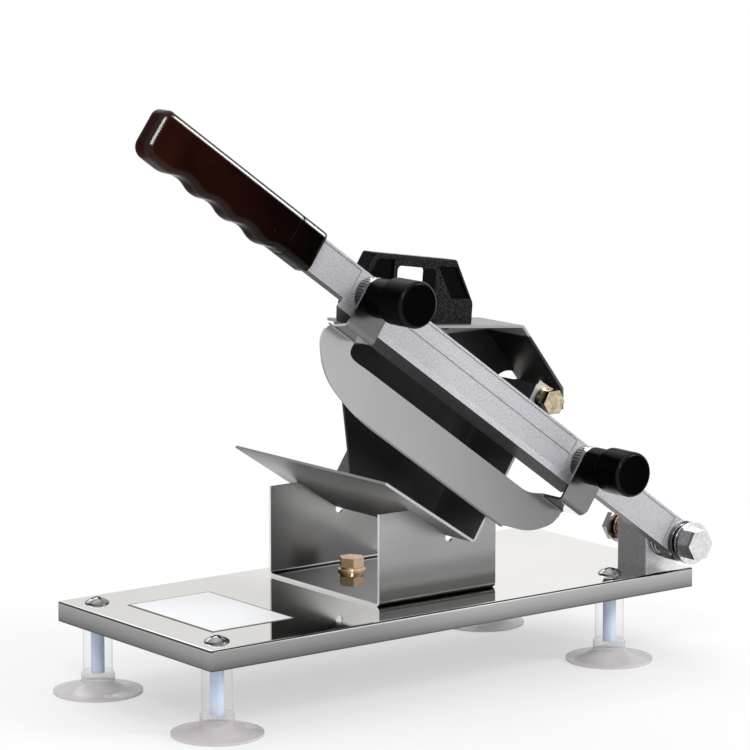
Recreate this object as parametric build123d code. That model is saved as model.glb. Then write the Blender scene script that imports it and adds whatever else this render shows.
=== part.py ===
from build123d import *
import os
from math import acos, asin, cos, degrees, hypot, pi, radians, sin, sqrt, tan

# Hand lever slicer: a hinged cutting arm on a sheet steel base with a V trough and a pusher.
# All sizes are millimetres. While it is built, the model stands in the base frame:
#   x runs from the base's left end (0) to its pivot end, y from its near long edge (0) back,
#   z = 0 is the top of the base. At the end everything moves so that the origin is the
#   centre of the whole object's bounding box, on the surface that the feet stand on.

# ------------------------------------------------------------------ driving dimensions
# base tray and feet
base_length = 340.0
base_width = 150.0
base_rim = 11.3
base_sheet = 1.2
base_corner = 1.8
base_bend = 1.6
foot_height = 39.4            # from the rim's lower edge down to the table
foot_inset_left = 15.4
foot_inset_right = 49.3
foot_inset_side = 17.2
foot_cup_radius = 25.0
foot_cup_rim = 1.6
foot_cup_lip = 1.4
foot_cup_height = 6.0
foot_collar_radius = 9.4
foot_collar_height = 5.0
foot_sleeve_radius = 8.2
foot_core_radius = 3.75
foot_core_floor = 11.0        # height of the core's lower end above the table
foot_screw_radius = 2.1
foot_screw_length = 15.0
foot_screw_head_radius = 6.8
foot_screw_head_height = 3.2

# bracket under the trough
bracket_left = 132.0
bracket_length = 82.5
bracket_front = 28.0
bracket_depth = 103.3
bracket_height = 52.0
bracket_sheet = 1.5
bracket_bend = 1.5
bracket_bolt_spacing = 56.0
bracket_apex_relief = 2.6

# V trough
trough_x = 181.0              # outer corner of the V
trough_z = 33.3
trough_front = 5.7
trough_depth = 140.3
trough_sheet = 1.5
trough_bend = 1.0
trough_left_rise = 33.0       # degrees above the horizontal
trough_left_width = 74.0
trough_right_rise = 57.0
trough_right_width = 98.0
trough_step_back = 9.3        # how far the top of the right flank stands back at its ends
trough_step_width = 30.0
trough_step_radius = 5.0

# guide rod and its tabs
rod_radius = 4.0
rod_along = 92.8              # place along the right flank, from the V's corner
rod_offset = 9.2              # and square to it, outside
tab_width = 16.0
tab_reach = 17.0
jam_nut_height = 4.5
rod_tail = 2.0

# pusher: sheet hood with a rear wall, on a sleeve that slides on the rod
hood_front = 12.0
hood_depth = 38.0
hood_sheet = 1.5
hood_bend = 1.8
hood_corner_x = 220.8         # upper right bend, outside
hood_corner_z = 151.0
hood_top_tilt = 5.0
hood_top_width = 108.0
hood_side_drop = 52.6
hood_side_width = 48.4
hood_lip = 12.0
wall_clearance = 0.5
wall_reach_left = 64.0
wall_swing_relief = 12.8
wall_tip_radius = 5.0
sleeve_wall = 1.5
sleeve_flange = 1.6
sleeve_flange_height = 1.8
sleeve_play = 1.0             # free run between the sleeve and the front jam nut
lug_thickness = 3.0
lug_wall = 2.3
pin_radius = 1.8
pin_length = 9.0
pin_tip_radius = 0.3
pin_field_depth = 60.0        # the spikes' middle, inside both flanks
pin_spread = 22.0

# pusher handle
handle_base_width = 84.0
handle_lean_right = 12.5      # how far the top's ends stand in from the feet's outer sides
handle_lean_left = 14.0
handle_height_right = 35.2
handle_height_left = 39.0
handle_foot_height = 13.0
handle_depth = 12.0
handle_bar = 6.0
handle_gap_left = 54.0        # the finger opening's sides, from the right foot's outer side
handle_gap_right = 27.0
handle_set_in = 32.0          # from the hood's upper right bend to the handle's right foot
handle_set_back = 7.0         # from the hood's front edge to the handle's front
handle_round = 1.6
handle_gap_round = 2.5
handle_panel_depth = 1.2
handle_panel_rim = 2.4
handle_panel_width = 13.0
handle_screw_radius = 2.0
handle_screw_length = 12.0
handle_screw_head_radius = 3.8
handle_screw_head_height = 2.4

# pivot: block, bolt, springs
block_length = 24.0
block_front = 14.6
block_depth = 25.4
block_height = 28.0
block_round = 1.4
pivot_height = 17.5
pivot_bolt_radius = 5.0
pivot_head_flats = 16.0
pivot_head_height = 6.4
pivot_nut_height = 5.0
pivot_washer_radius = 12.2
pivot_washer_thickness = 1.6
small_washer_radius = 9.6
outer_spring_length = 5.2
outer_spring_radius = 9.4     # to the wire's centre
outer_spring_wire = 1.4
outer_spring_turns = 2
inner_spring_radius = 10.6
inner_spring_wire = 1.9
inner_spring_turns = 2.5
rear_spring_length = 8.6
rear_spring_radius = 6.9
rear_spring_wire = 1.7
rear_spring_turns = 3
pivot_bolt_tail = 1.0

# cutting arm
arm_rise = 35.5               # degrees above the horizontal at rest
arm_thickness = 8.0
arm_half_width = 9.8
arm_eye_radius = 12.0
arm_bar_end = 331.0           # from the pivot to where the bar enters the grip
arm_tang_end = 428.0
arm_tang_half_width = 7.0
arm_tang_thickness = 5.0
arm_wide_start = 92.0
arm_wide_end = 297.0
arm_wide_low = 11.7           # lower limit of the flat front face below the centre line
arm_rail_crest = 16.2
arm_rail_foot = 19.4
arm_rail_proud = 3.0
arm_rail_slant = 12.0         # how much shorter the rail is at the arm's back
arm_panel_depth = 0.5
arm_panel_rim = 1.3
arm_web_half = 0.4
arm_stud_near = 92.7
arm_stud_far = 278.3
arm_stud_pad = 12.6
bush_wall = 1.5

# blade: flat band, joined to two ears by a step
blade_sheet = 1.5
blade_step = 16.0             # from the ears' front to the band's front
blade_fold_lower = 27.6       # the steps' places below the arm's centre line
blade_fold_upper = 23.2
blade_edge = 56.4
blade_top = 31.3
blade_tip_curve = [           # each point back from the tip, and above the edge
    (0.0, 29.0), (3.2, 20.0), (9.2, 13.6), (17.8, 7.9), (33.3, 3.1), (47.8, 0.7), (62.0, 0.0)]
blade_heel_curve = [          # each point in from the heel, and above the edge
    (0.0, 27.0), (1.6, 20.4), (6.2, 14.6), (12.9, 9.2), (21.0, 5.3), (33.0, 1.3), (48.0, 0.0)]
blade_shoulder_run = 16.0     # from an ear's side to where the window's edge runs straight
blade_bend = 0.9
blade_tip_corner = 5.0        # rounding of the band's upper corner, and taper of its step
blade_bevel_front = 1.0
blade_bevel_back = 4.5
blade_edge_land = 0.3
ear_width = 21.0
ear_cut_width = 3.4           # bevelled corner of the lower ear, at the heel
ear_cut_height = 5.8

# clamp knobs and spacer nuts
stud_radius = 4.0
stud_in_knob = 21.0
spacer_thickness = 6.0
spacer_radius = 10.6
spacer_groove = 0.55
spacer_grooves = 36
clamp_washer_radius = 10.4
clamp_washer_thickness = 1.2
knob_neck_radius = 10.7
knob_neck_length = 13.0
knob_radius = 12.6
knob_length = 33.5
knob_round = 2.4
knob_shoulder = 1.5
knob_groove_width = 0.9
knob_groove_depth = 0.6
knob_bore_depth = 24.0

# hand grip
grip_start = 323.5
grip_end = 446.5
grip_top = 12.5               # above the arm's centre line
grip_low = 11.6
grip_heel_low = 14.8
grip_depth = 15.0
grip_round = 4.0
grip_ridge = 2.2
grip_ridge_start = 22.0       # from the grip's start to the first ridge's root
grip_ridges = 3
grip_heel_run = 17.0          # from the grip's end to the heel's lowest line
grip_heel_share = 0.65        # the slope up to the heel, as a share of the ridges' pitch
grip_corner_top = 5.0
grip_corner_low = 7.0
grip_groove_place = 341.0
grip_groove_width = 1.0
grip_groove_depth = 0.6
grip_pin_radius = 0.8
grip_pin_place = 354.0
grip_pin_below = 4.5

# fasteners in common sizes
m8_radius = 4.0
m8_flats = 13.0
m8_head_height = 5.3
m8_nut_height = 6.3
m8_washer_radius = 8.0
m8_washer_thickness = 1.2
lock_washer_thickness = 1.6
lock_washer_radius = 6.4
lock_washer_gap = 1.2
m6_radius = 3.0
m6_flats = 10.0
m6_head_height = 4.0
block_screw_grip = 12.0

# clearances
running_gap = 0.05            # radial, between a shaft and what turns or slides on it
bolt_gap = 0.3                # radial, round a bolt in a plain hole
seat_gap = 0.05               # between a round wire or shell and its flat or round seat

# ------------------------------------------------------------------ places that follow
table_z = -(base_rim + foot_height)
tray_under = -base_sheet
foot_spots = [
    (foot_inset_left, foot_inset_side),
    (foot_inset_left, base_width - foot_inset_side),
    (base_length - foot_inset_right, foot_inset_side),
    (base_length - foot_inset_right, base_width - foot_inset_side),
]
bracket_centre_x = bracket_left + bracket_length / 2
bracket_centre_y = bracket_front + bracket_depth / 2
bracket_bolt_spots = [
    (bracket_centre_x, bracket_centre_y - bracket_bolt_spacing / 2),
    (bracket_centre_x, bracket_centre_y + bracket_bolt_spacing / 2),
]
block_left = base_length - block_length
pivot_x = base_length - block_length / 2
block_screw_spots = [
    (pivot_x, block_front + block_depth * 0.27),
    (pivot_x, block_front + block_depth * 0.73),
]
arm_front = -arm_thickness / 2
arm_back = arm_thickness / 2
trough_back = trough_front + trough_depth
tab_front = trough_front + trough_step_back
tab_rear = trough_back - trough_step_back
hood_back = hood_front + hood_depth
stud_places = {"lower": arm_stud_near, "upper": arm_stud_far}


def flank_point(rise, along, inside=0.0, to_left=False):
    """Point in the x-z plane on a flank of the V, and square to it towards the inside."""
    turn = -1 if to_left else 1
    x = trough_x + turn * (along * cos(radians(rise)) - inside * sin(radians(rise)))
    z = trough_z + along * sin(radians(rise)) + inside * cos(radians(rise))
    return (x, z)


def left_flank(along, inside=0.0):
    return flank_point(trough_left_rise, along, inside, to_left=True)


def right_flank(along, inside=0.0):
    return flank_point(trough_right_rise, along, inside)


def inner_corner(inside):
    """Where the two flanks meet, measured the given depth inside the V."""
    opening = radians(180 - trough_left_rise - trough_right_rise)
    along = inside / tan(opening / 2)
    return right_flank(along, inside)


rod_x, rod_z = right_flank(rod_along, -rod_offset)

# The arm's own flat frame: x from the pivot to the grip, y square to it and down, z forwards.
ARM = Plane(
    origin=(pivot_x, 0, pivot_height),
    x_dir=(-cos(radians(arm_rise)), 0, sin(radians(arm_rise))),
    z_dir=(0, -1, 0),
)


def arm_to_base(along, below):
    """x and z in the base frame of a point given in the arm's frame."""
    place = ARM.from_local_coords(Vector(along, below, 0))
    return (place.X, place.Z)


# ------------------------------------------------------------------ general helpers
def upright_plane(y):
    """Vertical plane facing the near side, with x to the right and z up."""
    return Plane(origin=(0, y, 0), x_dir=(1, 0, 0), z_dir=(0, -1, 0))


def slab(points, y_near, y_far):
    """Prism on an outline of (x, z) points, from y_near to y_far."""
    outline = make_face(Polyline(*points, close=True))
    return extrude(upright_plane(y_far) * outline, amount=y_far - y_near)


def disc(x, z, radius, y_near, y_far):
    """Round plug along y."""
    return extrude(upright_plane(y_far) * Pos(x, z) * Circle(radius), amount=y_far - y_near)


def ring(x, z, radius, hole, y_near, y_far):
    return disc(x, z, radius, y_near, y_far) - disc(x, z, hole, y_near, y_far)


def post(x, y, radius, z_low, z_high):
    """Round plug along z."""
    return Pos(x, y, z_low) * extrude(Circle(radius), amount=z_high - z_low)


def hexagon(flats):
    return RegularPolygon(flats / 2, 6, major_radius=False)


def hex_along_z(flats, height, bevel=0.6):
    """Hexagonal head or nut from z = 0 up, with its upper corners turned off."""
    body = extrude(hexagon(flats), amount=height)
    corner = flats / sqrt(3)
    cap = Pos(0, 0, height - bevel) * Cone(corner + bevel, corner - 2 * bevel, 3 * bevel, align=(
        Align.CENTER, Align.CENTER, Align.MIN))
    keep = extrude(Circle(corner + 1), amount=height - bevel) + cap
    return body & keep


def toward_near(x, z, y):
    """Location at (x, y, z) whose own z axis points to the near side."""
    return upright_plane(y).location * Pos(x, z, 0)


def offset_corner(before, corner, after, depth):
    """Corner of a polyline moved to its left-hand side by depth."""
    a = Vector(corner[0] - before[0], corner[1] - before[1]).normalized()
    b = Vector(after[0] - corner[0], after[1] - corner[1]).normalized()
    normal_a = Vector(-a.Y, a.X)
    normal_b = Vector(-b.Y, b.X)
    bisector = (normal_a + normal_b).normalized()
    reach = depth / bisector.dot(normal_a)
    return (corner[0] + bisector.X * reach, corner[1] + bisector.Y * reach)


def offset_end(corner, neighbour, depth, forward):
    """End of a polyline moved to its left-hand side by depth."""
    run = Vector(neighbour[0] - corner[0], neighbour[1] - corner[1]).normalized()
    if not forward:
        run = run * -1
    return (corner[0] - run.Y * depth, corner[1] + run.X * depth)


def bent_strip(points, thickness, bend):
    """Section of a bent sheet: its outer line, and the same line moved left by thickness."""
    inner = [offset_end(points[0], points[1], thickness, True)]
    for before, corner, after in zip(points, points[1:], points[2:]):
        inner.append(offset_corner(before, corner, after, thickness))
    inner.append(offset_end(points[-1], points[-2], thickness, False))
    section = make_face(Polyline(*points, *reversed(inner), close=True))
    for i in range(1, len(points) - 1):
        before, corner, after = points[i - 1], points[i], points[i + 1]
        turn = Vector(corner[0] - before[0], corner[1] - before[1]).cross(
            Vector(after[0] - corner[0], after[1] - corner[1])).Z
        line_radius, moved_radius = bend, bend + abs(thickness)
        if turn * thickness > 0:
            line_radius, moved_radius = moved_radius, line_radius
        for spot, radius in ((corner, line_radius), (inner[i], moved_radius)):
            vertex = section.vertices().sort_by_distance((spot[0], spot[1], 0))[0]
            section = fillet(vertex, radius)
    return section


# ------------------------------------------------------------------ springs
def biarc(start, start_way, end, end_way):
    """Two arcs that leave start along start_way and reach end along end_way."""
    span = end - start
    ways = start_way + end_way
    a = 2 * (start_way.dot(end_way) - 1)
    b = -2 * span.dot(ways)
    c = span.dot(span)
    reach = 2 * c / (sqrt(b * b - 4 * a * c) - b)
    joint = (start + start_way * reach + end - end_way * reach) * 0.5
    joint_way = (end - end_way * reach) - (start + start_way * reach)
    first = TangentArc(start, joint, tangent=start_way)
    second = TangentArc(joint, end, tangent=joint_way)
    return [first, second]


def coil_point(radius, pitch, turns):
    angle = 2 * pi * turns
    return Vector(radius * cos(angle), radius * sin(angle), pitch * turns)


def coil_way(radius, pitch, turns):
    angle = 2 * pi * turns
    return Vector(-radius * sin(angle), radius * cos(angle), pitch / (2 * pi)).normalized()


def coil(name, length, radius, wire, turns):
    """Compression spring from z = 0 to length: half turns as biarcs, straight wire ends."""
    tail_share = wire / (pi * radius)
    pitch = (length - wire - 2 * seat_gap) / (turns + tail_share)
    rise = wire / 2 + seat_gap + pitch * tail_share / 2
    steps = int(round(turns * 2))
    start_tail = coil_point(radius, pitch, 0) - coil_way(radius, pitch, 0) * wire
    path = [Line(start_tail, coil_point(radius, pitch, 0))]
    for step in range(steps):
        here, there = step / 2, (step + 1) / 2
        path += biarc(
            coil_point(radius, pitch, here), coil_way(radius, pitch, here),
            coil_point(radius, pitch, there), coil_way(radius, pitch, there))
    end_tail = coil_point(radius, pitch, turns) + coil_way(radius, pitch, turns) * wire
    path.append(Line(coil_point(radius, pitch, turns), end_tail))
    line = Wire([edge for piece in path for edge in piece.edges()])
    section = Plane(origin=start_tail, z_dir=coil_way(radius, pitch, 0)) * Circle(wire / 2)
    print(name, "least gap to itself", round(self_gap(line, pitch, radius, wire), 2), "mm")
    return Pos(0, 0, rise) * sweep(section, path=line)


def self_gap(line, pitch, radius, wire):
    """Least clear distance between two parts of the wire half a turn or more apart."""
    count = 240
    points = [line.position_at(i / count) for i in range(count + 1)]
    apart = int(count * pi * radius / line.length)
    least = 2 * radius
    for i, first in enumerate(points):
        for second in points[i + apart:]:
            least = min(least, (first - second).length)
    return least - wire


# ------------------------------------------------------------------ base and feet
def base_tray():
    """Sheet steel tray, upside down: flat top, rim all round, open below."""
    lows = (Align.MIN, Align.MIN, Align.MAX)
    shell = Box(base_length, base_width, base_rim, align=lows)
    shell = fillet(shell.edges().filter_by(Axis.Z), base_corner)
    shell = fillet(shell.faces().sort_by(Axis.Z)[-1].edges(), base_bend)
    hollow = Box(base_length - 2 * base_sheet, base_width - 2 * base_sheet, base_rim, align=lows)
    hollow = fillet(hollow.edges().filter_by(Axis.Z), base_corner - base_sheet)
    hollow = fillet(hollow.faces().sort_by(Axis.Z)[-1].edges(), base_bend - base_sheet)
    tray = shell - Pos(base_sheet, base_sheet, -base_sheet) * hollow
    for x, y in foot_spots:
        tray -= post(x, y, foot_screw_radius + bolt_gap, -2 * base_sheet, base_sheet)
    for x, y in bracket_bolt_spots:
        tray -= post(x, y, m8_radius + bolt_gap, -2 * base_sheet, base_sheet)
    for x, y in block_screw_spots:
        tray -= post(x, y, m6_radius + bolt_gap, -2 * base_sheet, base_sheet)
    return tray


def turned(lines):
    """Solid of revolution about z, from connected lines given as (radius, height)."""
    profile = make_face([edge for line in lines for edge in line.edges()])
    return revolve(Plane.XZ * profile, axis=Axis.Z)


def suction_foot():
    """Soft cup with a long sleeve, on the z axis, from the tray down to the table."""
    bore = foot_core_radius + seat_gap
    cup_top = table_z + foot_cup_height
    collar_top = cup_top + foot_collar_height
    rim_inner = foot_cup_radius - foot_cup_rim
    rim_top = table_z + foot_cup_lip
    hollow_top = table_z + foot_cup_height * 0.4
    core_floor = table_z + foot_core_floor
    sleeve = Polyline(
        (0, core_floor), (bore, core_floor), (bore, tray_under),
        (foot_sleeve_radius, tray_under), (foot_sleeve_radius, collar_top + 1),
        (foot_collar_radius, collar_top), (foot_collar_radius, cup_top))
    flare = ThreePointArc(
        (foot_collar_radius, cup_top),
        (foot_cup_radius * 0.6, table_z + foot_cup_height * 0.52),
        (foot_cup_radius, rim_top))
    rim = Polyline((foot_cup_radius, rim_top), (foot_cup_radius, table_z), (rim_inner, table_z))
    hollow = Spline((rim_inner, table_z), (0, hollow_top), tangents=((-1, 0.3), (-1, 0)))
    return turned([sleeve, flare, rim, hollow, Line((0, hollow_top), (0, core_floor))])


def foot_core():
    """Pale spacer inside the sleeve, tapped for the screw."""
    core = post(0, 0, foot_core_radius, table_z + foot_core_floor + seat_gap, tray_under)
    hole = post(0, 0, foot_screw_radius + running_gap, tray_under - foot_screw_length, tray_under)
    return core - hole


def pan_head(radius, height):
    """Domed screw head from z = 0 up, with a cross recess."""
    dome = (radius ** 2 + height ** 2) / (2 * height) * 1.15
    ball = Pos(0, 0, height - dome) * Sphere(dome)
    head = extrude(Circle(radius), amount=height) & ball
    slot = Box(radius * 1.15, radius * 0.24, height * 0.9)
    cross = slot + Rot(0, 0, 90) * slot
    return head - Pos(0, 0, height) * cross


def foot_screw():
    shank_length = foot_screw_length - 1.0 + base_sheet
    shank = post(0, 0, foot_screw_radius, -shank_length, 0)
    return pan_head(foot_screw_head_radius, foot_screw_head_height) + shank


def at_feet(piece):
    return [Pos(x, y, 0) * piece for x, y in foot_spots]


# ------------------------------------------------------------------ bracket and trough
def trough_bracket():
    """U-shaped sheet: floor on the tray, two upright walls notched to carry the V."""
    back = bracket_front + bracket_depth
    section = bent_strip(
        [(bracket_front, bracket_height), (bracket_front, 0), (back, 0), (back, bracket_height)],
        bracket_sheet, bracket_bend)
    side = Plane(origin=(bracket_left, 0, 0), x_dir=(0, 1, 0), z_dir=(1, 0, 0))
    channel = extrude(side * section, amount=bracket_length)
    notch = slab(
        [(trough_x, trough_z), right_flank(2 * bracket_height), left_flank(2 * bracket_height)],
        0, base_width)
    relief = disc(trough_x, trough_z, bracket_apex_relief, 0, base_width)
    channel = channel - notch - relief
    for x, y in bracket_bolt_spots:
        channel -= post(x, y, m8_radius + bolt_gap, -bracket_sheet, 2 * bracket_sheet)
    return channel


def bracket_bolt():
    """Hexagon bolt down through bracket and tray; its own z = 0 is the tray's top."""
    under_head = bracket_sheet + m8_washer_thickness + lock_washer_thickness
    tip = -(base_sheet + m8_washer_thickness + m8_nut_height + 1.0)
    head = Pos(0, 0, under_head) * hex_along_z(m8_flats, m8_head_height)
    return head + post(0, 0, m8_radius, tip, under_head)


def flat_washer(radius, hole, thickness):
    return extrude(Circle(radius) - Circle(hole), amount=thickness)


def lock_washer(hole):
    """Split spring washer, with its slanted gap."""
    body = extrude(Circle(lock_washer_radius) - Circle(hole), amount=lock_washer_thickness)
    cut = Box(lock_washer_radius * 2, lock_washer_gap, lock_washer_thickness * 3)
    return body - Pos(lock_washer_radius, 0, lock_washer_thickness / 2) * Rot(25, 0, 0) * cut


def bracket_washers():
    hole = m8_radius + bolt_gap
    low = Pos(0, 0, bracket_sheet) * flat_washer(m8_washer_radius, hole, m8_washer_thickness)
    split = Pos(0, 0, bracket_sheet + m8_washer_thickness) * Rot(0, 0, -30) * lock_washer(hole)
    under = Pos(0, 0, tray_under - m8_washer_thickness) * flat_washer(
        m8_washer_radius, hole, m8_washer_thickness)
    return [Pos(x, y, 0) * piece for x, y in bracket_bolt_spots for piece in (low, split, under)]


def hex_nut(flats, height, bore):
    both = hex_along_z(flats, height) & (Pos(0, 0, height) * Rot(180, 0, 0) * hex_along_z(
        flats, height))
    return both - extrude(Circle(bore), amount=height)


def bracket_nuts():
    top = tray_under - m8_washer_thickness
    nut = Pos(0, 0, top - m8_nut_height) * hex_nut(
        m8_flats, m8_nut_height, m8_radius + running_gap)
    return [Pos(x, y, 0) * nut for x, y in bracket_bolt_spots]


def tab_outline():
    """Ear on the outside of the right flank, with its two outer corners rounded."""
    half = tab_width / 2
    corners = [
        right_flank(rod_along - half, trough_sheet * 0.5),
        right_flank(rod_along - half, -tab_reach),
        right_flank(rod_along + half, -tab_reach),
        right_flank(rod_along + half, trough_sheet * 0.5)]
    outline = make_face(Polyline(*corners, close=True))
    for spot in corners[1:3]:
        vertex = outline.vertices().sort_by_distance((spot[0], spot[1], 0))[0]
        outline = fillet(vertex, tab_width * 0.35)
    return outline


def food_trough():
    """V of sheet steel; the top of the right flank is stepped back and carries two tabs."""
    section = bent_strip(
        [left_flank(trough_left_width), (trough_x, trough_z), right_flank(trough_right_width)],
        trough_sheet, trough_bend)
    trough = extrude(upright_plane(trough_back) * section, amount=trough_depth)
    step_low = trough_right_width - trough_step_width
    frame = Plane(
        origin=(*right_flank(0)[:1], 0, trough_z),
        x_dir=(cos(radians(trough_right_rise)), 0, sin(radians(trough_right_rise))),
        z_dir=(sin(radians(trough_right_rise)), 0, -cos(radians(trough_right_rise))))
    for edge_y, inward in ((trough_front, 1), (trough_back, -1)):
        reach = trough_step_back * inward
        far = edge_y - reach
        outline = Polyline(
            (step_low, -far), (step_low, -(edge_y + reach)),
            (2 * trough_right_width, -(edge_y + reach)), (2 * trough_right_width, -far),
            close=True)
        opening = make_face(outline)
        corner = opening.vertices().sort_by_distance((step_low, -(edge_y + reach), 0))[0]
        opening = fillet(corner, trough_step_radius)
        trough -= extrude(frame * opening, amount=4 * trough_sheet, both=True)
    for near in (tab_front, tab_rear - trough_sheet):
        tab = extrude(upright_plane(near + trough_sheet) * tab_outline(), amount=trough_sheet)
        trough += tab
    for near in (tab_front, tab_rear - trough_sheet):
        trough -= disc(rod_x, rod_z, rod_radius + bolt_gap, near - 1, near + trough_sheet + 1)
    return trough


# ------------------------------------------------------------------ guide rod
def guide_rod():
    """Long hexagon-headed rod along y through both tabs, its head on the near side."""
    stack = m8_washer_thickness + lock_washer_thickness
    head_back = tab_front - stack
    shaft_end = tab_rear + m8_washer_thickness + m8_nut_height + rod_tail
    head = toward_near(rod_x, rod_z, head_back) * hex_along_z(m8_flats, m8_head_height)
    return head + disc(rod_x, rod_z, rod_radius, head_back, shaft_end)


def rod_washers():
    hole = rod_radius + bolt_gap
    flat = flat_washer(m8_washer_radius, hole, m8_washer_thickness)
    return [
        toward_near(rod_x, rod_z, tab_front) * flat,
        toward_near(rod_x, rod_z, tab_front - m8_washer_thickness) * lock_washer(hole),
        toward_near(rod_x, rod_z, tab_rear + m8_washer_thickness) * flat]


def rod_nuts():
    """Thin nuts inside both tabs and a full nut behind the rear one."""
    bore = rod_radius + running_gap
    thin = hex_nut(m8_flats, jam_nut_height, bore)
    full = hex_nut(m8_flats, m8_nut_height, bore)
    return [
        toward_near(rod_x, rod_z, tab_front + trough_sheet + jam_nut_height) * thin,
        toward_near(rod_x, rod_z, tab_rear - trough_sheet) * thin,
        toward_near(rod_x, rod_z, tab_rear + m8_washer_thickness + m8_nut_height) * full]


# ------------------------------------------------------------------ pusher
sleeve_front = tab_front + trough_sheet + jam_nut_height + sleeve_play
sleeve_back = hood_back - hood_sheet - seat_gap
sleeve_radius = rod_radius + running_gap + sleeve_wall


def guide_sleeve():
    """Flanged sleeve that slides on the rod; the pusher's lugs swing on it."""
    tube = disc(rod_x, rod_z, sleeve_radius, sleeve_front, sleeve_back)
    collar = sleeve_radius + sleeve_flange
    front = disc(rod_x, rod_z, collar, sleeve_front, sleeve_front + sleeve_flange_height)
    back = disc(rod_x, rod_z, collar, sleeve_back - sleeve_flange_height, sleeve_back)
    bore = disc(rod_x, rod_z, rod_radius + running_gap, sleeve_front - 1, sleeve_back + 1)
    return tube + front + back - bore


def hood_line():
    """Outer line of the hood in the x-z plane, from its left end to the lip's lower edge."""
    tilt = radians(hood_top_tilt)
    drop = radians(hood_side_drop)
    left = (
        hood_corner_x - hood_top_width * cos(tilt),
        hood_corner_z + hood_top_width * sin(tilt))
    bend = (
        hood_corner_x + hood_side_width * cos(drop),
        hood_corner_z - hood_side_width * sin(drop))
    lip = (bend[0], bend[1] - hood_lip)
    return [left, (hood_corner_x, hood_corner_z), bend, lip]


def hood_top_point(from_corner, above):
    """Point over the hood's top panel: distance left of the bend, and height above it."""
    tilt = radians(hood_top_tilt)
    return (
        hood_corner_x - from_corner * cos(tilt) + above * sin(tilt),
        hood_corner_z + from_corner * sin(tilt) + above * cos(tilt))


def pusher_hood():
    """Folded hood: top, slanted side and lip, with a rear wall that fits the V and two lugs."""
    line = hood_line()
    section = bent_strip(list(reversed(line)), hood_sheet, hood_bend)
    hood = extrude(upright_plane(hood_back) * section, amount=hood_depth)
    depth = trough_sheet + wall_clearance
    tip = inner_corner(depth)
    inset = hood_sheet * 0.5
    wall_corners = [
        tip,
        left_flank(wall_reach_left, depth),
        hood_top_point(hood_top_width - 4, -inset),
        hood_top_point(inset, -inset),
        (line[2][0] - inset, line[2][1]),
        (line[2][0] - inset, line[2][1] - 2),
        right_flank(rod_along, depth)]
    outline = make_face(Polyline(*wall_corners, close=True))
    corner = outline.vertices().sort_by_distance((tip[0], tip[1], 0))[0]
    outline = fillet(corner, wall_tip_radius)
    wall = extrude(upright_plane(hood_back) * outline, amount=hood_sheet)
    wall -= disc(rod_x, rod_z, wall_swing_relief, 0, base_width)
    hood += wall
    lug_radius = sleeve_radius + lug_wall
    lip_inside = line[2][0] - hood_sheet * 0.5
    for near in lug_spans():
        eye = disc(rod_x, rod_z, lug_radius, near, near + lug_thickness)
        low = max(rod_z - lug_radius, line[3][1])
        arm = slab(
            [(rod_x, low), (lip_inside, low),
             (lip_inside, rod_z + lug_radius), (rod_x, rod_z + lug_radius)],
            near, near + lug_thickness)
        hood += eye + arm
    hood -= disc(rod_x, rod_z, sleeve_radius + running_gap, hood_front - 1, hood_back + 1)
    for x, z in handle_screw_spots():
        shaft = Plane(origin=(x, handle_middle(), z), z_dir=top_normal()) * Circle(
            handle_screw_radius + bolt_gap)
        hood -= extrude(shaft, amount=2 * hood_sheet, both=True)
    return hood


def lug_spans():
    """Near faces of the two lugs, just inside the sleeve's flanges."""
    first = sleeve_front + sleeve_flange_height + seat_gap
    last = sleeve_back - sleeve_flange_height - seat_gap - lug_thickness
    return (first, last)


def grip_pins():
    """Spikes on the front of the rear wall that hold the end of the food."""
    root = hood_back - hood_sheet
    centre = inner_corner(pin_field_depth)
    spots = [(0, -0.55), (-1, 0), (1, 0), (-0.64, 1.09), (0.73, 1.18)]
    pins = []
    for across, up in spots:
        cone = Cone(pin_radius, pin_tip_radius, pin_length, align=(
            Align.CENTER, Align.CENTER, Align.MIN))
        place = toward_near(centre[0] + across * pin_spread, centre[1] + up * pin_spread, root)
        pins.append(place * cone)
    return pins


def handle_middle():
    return hood_front + handle_set_back + handle_depth / 2


def top_normal():
    tilt = radians(hood_top_tilt)
    return (sin(tilt), 0, cos(tilt))


def handle_frame():
    """Frame on the hood's top: x to the right along it, z up, origin at the right foot."""
    x, z = hood_top_point(handle_set_in, 0)
    tilt = radians(hood_top_tilt)
    return Plane(
        origin=(x, hood_front + handle_set_back, z),
        x_dir=(cos(tilt), 0, -sin(tilt)), z_dir=(0, -1, 0))


def handle_top(from_right):
    """Height of the bar's top, which falls towards the right foot."""
    run = handle_base_width - handle_lean_left - handle_lean_right
    share = (from_right - handle_lean_right) / run
    return handle_height_right + (handle_height_left - handle_height_right) * share


def handle_outline():
    """Bridge shape in the handle frame, with the finger opening left for the cut."""
    top_left = handle_base_width - handle_lean_left
    return [
        (0, 0), (0, handle_foot_height), (-handle_lean_right, handle_height_right),
        (-top_left, handle_height_left),
        (-handle_base_width, handle_foot_height), (-handle_base_width, 0)]


def finger_gap():
    """Finger opening's outline: between the legs, under the bar."""
    high_left = handle_top(handle_gap_left) - handle_bar
    high_right = handle_top(handle_gap_right) - handle_bar
    return [(-handle_gap_left, 0), (-handle_gap_left, high_left),
            (-handle_gap_right, high_right), (-handle_gap_right, 0)]


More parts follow.
